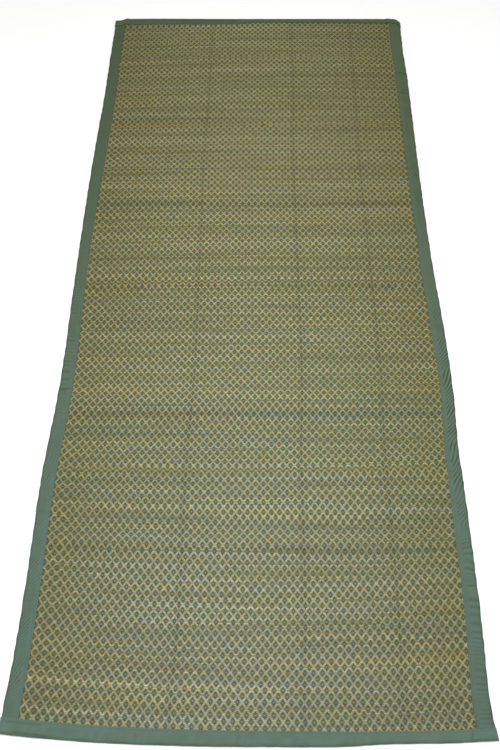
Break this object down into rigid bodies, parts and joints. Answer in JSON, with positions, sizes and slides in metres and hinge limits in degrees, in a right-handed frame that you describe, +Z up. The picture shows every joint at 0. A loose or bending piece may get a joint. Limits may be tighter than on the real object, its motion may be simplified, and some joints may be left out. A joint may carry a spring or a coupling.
{
  "type": "woven grass floor mat",
  "caption": "Flat rectangular floor mat of woven grass in a small diamond twill, with plain cotton tape folded over its edges.",
  "frame": {"origin": "middle of the mat's outline, on the floor that it lies on", "axes": "+X across the mat to its right side, +Y along it from the near end to the far end, +Z up off the floor"},
  "size_m": [0.7727, 1.8438, 0.0074],
  "materials": {
    "woven_grass": "matte woven grass and cotton yarn",
    "cotton_tape": "matte cotton cloth"
  },
  "bodies": {
    "root": {"woven_panel": "woven_grass", "left_binding": "cotton_tape", "right_binding": "cotton_tape", "near_binding": "cotton_tape", "far_binding": "cotton_tape"}
  },
  "joints": []
}
